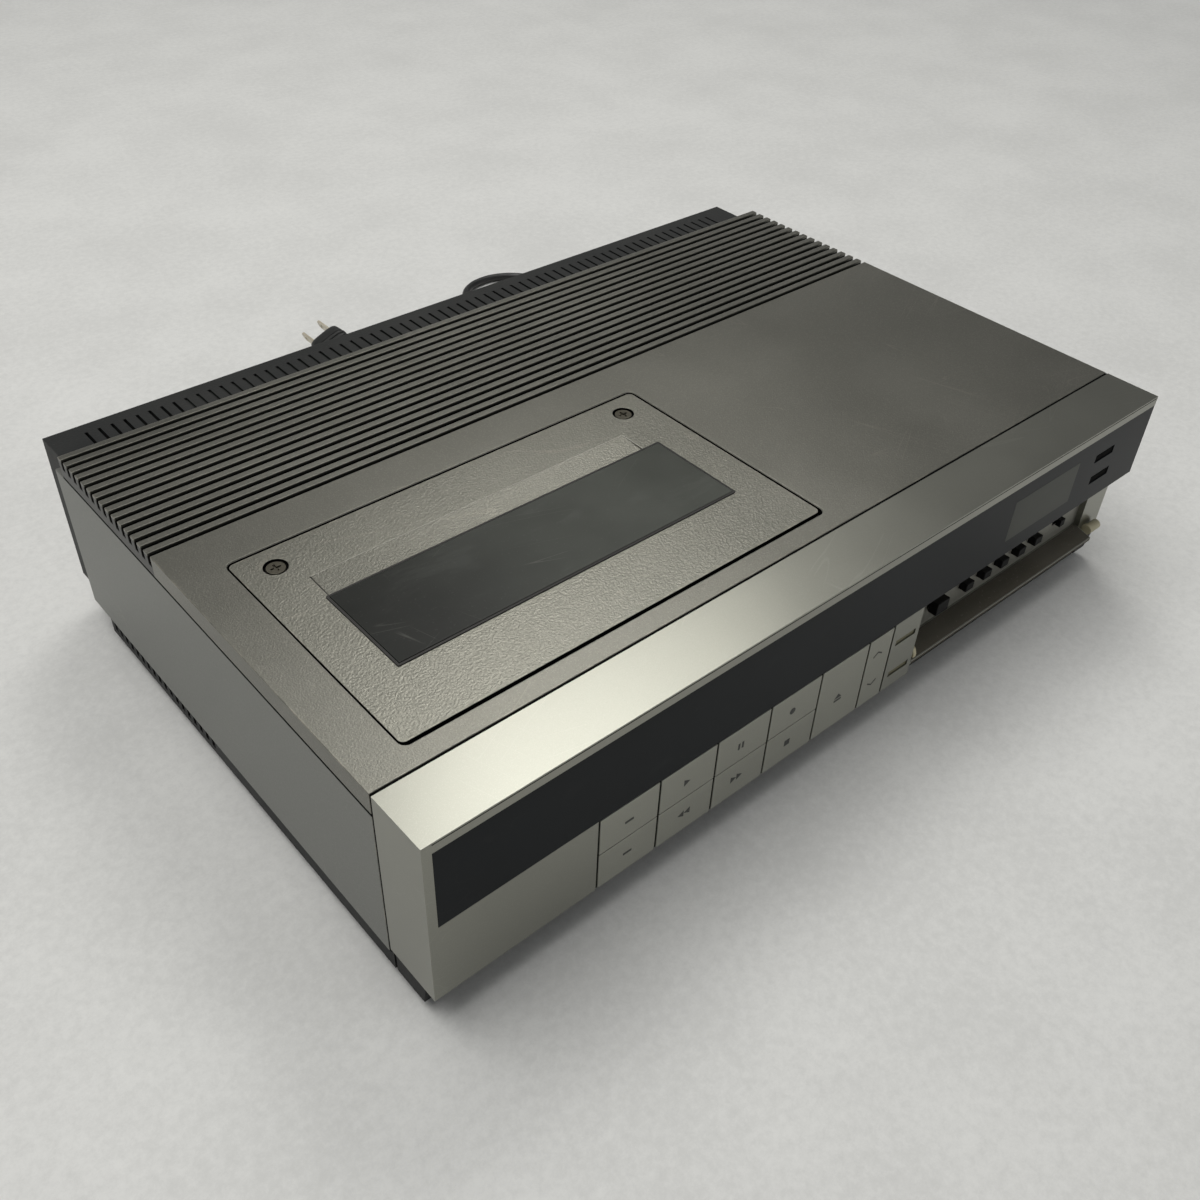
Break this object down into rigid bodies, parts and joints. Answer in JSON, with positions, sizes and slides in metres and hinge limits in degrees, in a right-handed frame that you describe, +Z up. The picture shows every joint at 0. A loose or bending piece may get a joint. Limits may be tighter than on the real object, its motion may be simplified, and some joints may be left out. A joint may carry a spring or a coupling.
{
  "type": "video cassette recorder",
  "caption": "Flat top-loading video cassette recorder with a rising cassette lid, ribbed cover, dark front band, silver piano keys, recessed option keys and a mains lead",
  "frame": {"origin": "middle of the case seen from above, on the table under its feet", "axes": "+X to the right seen from the front, +Y to the back, +Z up"},
  "size_m": [0.43, 0.4605, 0.1022],
  "materials": {
    "black_plastic": "moulded, matt",
    "foot_rubber": "matt rubber",
    "screw_steel": "plated",
    "bronze_side": "satin metallic lacquer",
    "bronze_top": "satin metallic lacquer with a fine fleck",
    "charcoal_plastic": "moulded, fine grain",
    "silver_plastic": "satin champagne-silver lacquer",
    "silver_key": "satin champagne-silver lacquer",
    "dark_acrylic": "gloss dark acrylic",
    "smoke_window": "gloss smoked acrylic",
    "ivory_plastic": "aged ivory plastic",
    "terminal_metal": "plated terminals on a plate",
    "cord_rubber": "smooth lead jacket",
    "plug_rubber": "moulded plug",
    "zinc_steel": "zinc-plated sheet",
    "dark_metal": "black coated",
    "machined_aluminium": "turned, bright",
    "circuit_board": "circuit board with its parts",
    "tin_can": "tinned screening can",
    "roller_rubber": "rubber roller on its arm",
    "reel_plastic": "moulded reel table",
    "olive_plastic": "olive-brown bar key",
    "black_key": "matt black key"
  },
  "bodies": {
    "case": {"base_tray": "black_plastic", "feet": "foot_rubber", "case_screws": "screw_steel", "left_side_panel": "bronze_side", "right_side_panel": "bronze_side", "top_cover": "bronze_top", "rear_cover": "charcoal_plastic", "front_fascia": "silver_plastic", "front_plinth": "black_plastic", "front_band": "dark_acrylic", "recess_panel": "silver_plastic", "hinge_stubs": "ivory_plastic", "terminal_plate": "terminal_metal", "cord_gland": "cord_rubber", "power_cord": "cord_rubber", "cord_coil": "cord_rubber", "cord_tail": "cord_rubber", "mains_plug": "plug_rubber", "deck_chassis": "zinc_steel", "tape_path": "machined_aluminium", "main_board": "circuit_board", "tuner_module": "tin_can", "power_supply": "zinc_steel", "key_board": "circuit_board", "lift_frame": "zinc_steel", "capstan_stator": "dark_metal"},
    "holder": {"cassette_holder": "zinc_steel", "cassette_lid": "bronze_top", "lid_window": "smoke_window", "lid_screws": "screw_steel"},
    "front_arms": {"lift_arms_front": "zinc_steel"},
    "rear_arms": {"lift_arms_rear": "zinc_steel"},
    "latch": {"lid_latch": "zinc_steel"},
    "head_drum": {"upper_drum": "machined_aluminium"},
    "capstan": {"capstan_rotor": "zinc_steel"},
    "pinch": {"pinch_arm": "roller_rubber"},
    "supply_table": {"supply_reel": "reel_plastic"},
    "takeup_table": {"takeup_reel": "reel_plastic"},
    "threading": {"threading_posts": "zinc_steel"},
    "power_key_body": {"power_key": "silver_key"},
    "source_key_body": {"source_key": "silver_key"},
    "play_key_body": {"play_key": "silver_key"},
    "rewind_key_body": {"rewind_key": "silver_key"},
    "pause_key_body": {"pause_key": "silver_key"},
    "forward_key_body": {"forward_key": "silver_key"},
    "record_key_body": {"record_key": "silver_key"},
    "stop_key_body": {"stop_key": "silver_key"},
    "eject_key_body": {"eject_key": "silver_key"},
    "channel_rocker_body": {"channel_rocker": "silver_key"},
    "timer_key_upper_body": {"timer_key_upper": "olive_plastic"},
    "timer_key_lower_body": {"timer_key_lower": "olive_plastic"},
    "option_key_1_body": {"option_key_1": "black_key"},
    "option_key_2_body": {"option_key_2": "black_key"},
    "option_key_3_body": {"option_key_3": "black_key"},
    "option_key_4_body": {"option_key_4": "black_key"},
    "option_key_5_body": {"option_key_5": "black_key"},
    "speed_switch_body": {"speed_switch": "black_key"},
    "mode_switch_body": {"mode_switch": "ivory_plastic"},
    "band_key_upper_body": {"band_key_upper": "black_key"},
    "band_key_lower_body": {"band_key_lower": "black_key"}
  },
  "joints": [
    {"name": "lift_front", "type": "hinge", "parent": "case", "child": "front_arms", "pos_m": [-0.0897, -0.03791, 0.08412], "axis": [-1, 0, 0], "range_deg": [0, 65]},
    {"name": "lift_rear", "type": "hinge", "parent": "case", "child": "rear_arms", "pos_m": [-0.0897, 0.01209, 0.08412], "axis": [-1, 0, 0], "range_deg": [0, 65]},
    {"name": "holder_tilt", "type": "hinge", "parent": "front_arms", "child": "holder", "pos_m": [-0.0897, -0.097, 0.0737], "axis": [-1, 0, 0], "range_deg": [-65, 0]},
    {"name": "latch_pivot", "type": "hinge", "parent": "case", "child": "latch", "pos_m": [-0.00365, -0.1105, 0.061], "axis": [1, 0, 0], "range_deg": [0, 12.1]},
    {"name": "drum_spin", "type": "hinge", "parent": "case", "child": "head_drum", "pos_m": [-0.0897, 0.057, 0.06], "axis": [0, -0.0872, 0.9962], "continuous": true},
    {"name": "capstan_spin", "type": "hinge", "parent": "case", "child": "capstan", "pos_m": [-0.0147, 0.017, 0.023], "axis": [0, 0, 1], "continuous": true},
    {"name": "pinch_swing", "type": "hinge", "parent": "case", "child": "pinch", "pos_m": [0.0073, 0.017, 0.041], "axis": [0, 0, 1], "range_deg": [0, 37], "stiffness_Nm_per_rad": 0.02},
    {"name": "supply_spin", "type": "hinge", "parent": "case", "child": "supply_table", "pos_m": [-0.1357, -0.051, 0.041], "axis": [0, 0, 1], "continuous": true},
    {"name": "takeup_spin", "type": "hinge", "parent": "case", "child": "takeup_table", "pos_m": [-0.0437, -0.051, 0.041], "axis": [0, 0, 1], "continuous": true},
    {"name": "threading_slide", "type": "slide", "parent": "case", "child": "threading", "axis": [0, 1, 0], "range_m": [0, 0.038]},
    {"name": "power_key_press", "type": "slide", "parent": "case", "child": "power_key_body", "axis": [0, 1, 0], "range_m": [0, 0.002], "stiffness_N_per_m": 300},
    {"name": "source_key_press", "type": "slide", "parent": "case", "child": "source_key_body", "axis": [0, 1, 0], "range_m": [0, 0.002], "stiffness_N_per_m": 300},
    {"name": "play_key_press", "type": "slide", "parent": "case", "child": "play_key_body", "axis": [0, 1, 0], "range_m": [0, 0.002], "stiffness_N_per_m": 300},
    {"name": "rewind_key_press", "type": "slide", "parent": "case", "child": "rewind_key_body", "axis": [0, 1, 0], "range_m": [0, 0.002], "stiffness_N_per_m": 300},
    {"name": "pause_key_press", "type": "slide", "parent": "case", "child": "pause_key_body", "axis": [0, 1, 0], "range_m": [0, 0.002], "stiffness_N_per_m": 300},
    {"name": "forward_key_press", "type": "slide", "parent": "case", "child": "forward_key_body", "axis": [0, 1, 0], "range_m": [0, 0.002], "stiffness_N_per_m": 300},
    {"name": "record_key_press", "type": "slide", "parent": "case", "child": "record_key_body", "axis": [0, 1, 0], "range_m": [0, 0.002], "stiffness_N_per_m": 300},
    {"name": "stop_key_press", "type": "slide", "parent": "case", "child": "stop_key_body", "axis": [0, 1, 0], "range_m": [0, 0.002], "stiffness_N_per_m": 300},
    {"name": "eject_key_press", "type": "slide", "parent": "case", "child": "eject_key_body", "axis": [0, 1, 0], "range_m": [0, 0.003], "stiffness_N_per_m": 300},
    {"name": "channel_rocker_tilt", "type": "hinge", "parent": "case", "child": "channel_rocker_body", "pos_m": [0.01925, -0.1456, 0.0377], "axis": [1, 0, 0], "range_deg": [-3, 3], "stiffness_Nm_per_rad": 0.05},
    {"name": "timer_key_upper_press", "type": "slide", "parent": "case", "child": "timer_key_upper_body", "axis": [0, 1, 0], "range_m": [0, 0.0015], "stiffness_N_per_m": 150},
    {"name": "timer_key_lower_press", "type": "slide", "parent": "case", "child": "timer_key_lower_body", "axis": [0, 1, 0], "range_m": [0, 0.0015], "stiffness_N_per_m": 150},
    {"name": "option_key_1_press", "type": "slide", "parent": "case", "child": "option_key_1_body", "axis": [0, 1, 0], "range_m": [0, 0.0015], "stiffness_N_per_m": 150},
    {"name": "option_key_2_press", "type": "slide", "parent": "case", "child": "option_key_2_body", "axis": [0, 1, 0], "range_m": [0, 0.0015], "stiffness_N_per_m": 150},
    {"name": "option_key_3_press", "type": "slide", "parent": "case", "child": "option_key_3_body", "axis": [0, 1, 0], "range_m": [0, 0.0015], "stiffness_N_per_m": 150},
    {"name": "option_key_4_press", "type": "slide", "parent": "case", "child": "option_key_4_body", "axis": [0, 1, 0], "range_m": [0, 0.0015], "stiffness_N_per_m": 150},
    {"name": "option_key_5_press", "type": "slide", "parent": "case", "child": "option_key_5_body", "axis": [0, 1, 0], "range_m": [0, 0.0015], "stiffness_N_per_m": 150},
    {"name": "speed_switch_slide", "type": "slide", "parent": "case", "child": "speed_switch_body", "axis": [1, 0, 0], "range_m": [-0.003, 0.003]},
    {"name": "mode_switch_slide", "type": "slide", "parent": "case", "child": "mode_switch_body", "axis": [1, 0, 0], "range_m": [-0.003, 0.003]},
    {"name": "band_key_upper_press", "type": "slide", "parent": "case", "child": "band_key_upper_body", "axis": [0, 1, 0], "range_m": [0, 0.0015], "stiffness_N_per_m": 150},
    {"name": "band_key_lower_press", "type": "slide", "parent": "case", "child": "band_key_lower_body", "axis": [0, 1, 0], "range_m": [0, 0.0015], "stiffness_N_per_m": 150}
  ],
  "couplings": [
    {"joint": "lift_rear", "follows": "lift_front", "ratio": 1},
    {"joint": "holder_tilt", "follows": "lift_front", "ratio": -1},
    {"joint": "latch_pivot", "follows": "eject_key_press", "rad_per_m": 70}
  ]
}
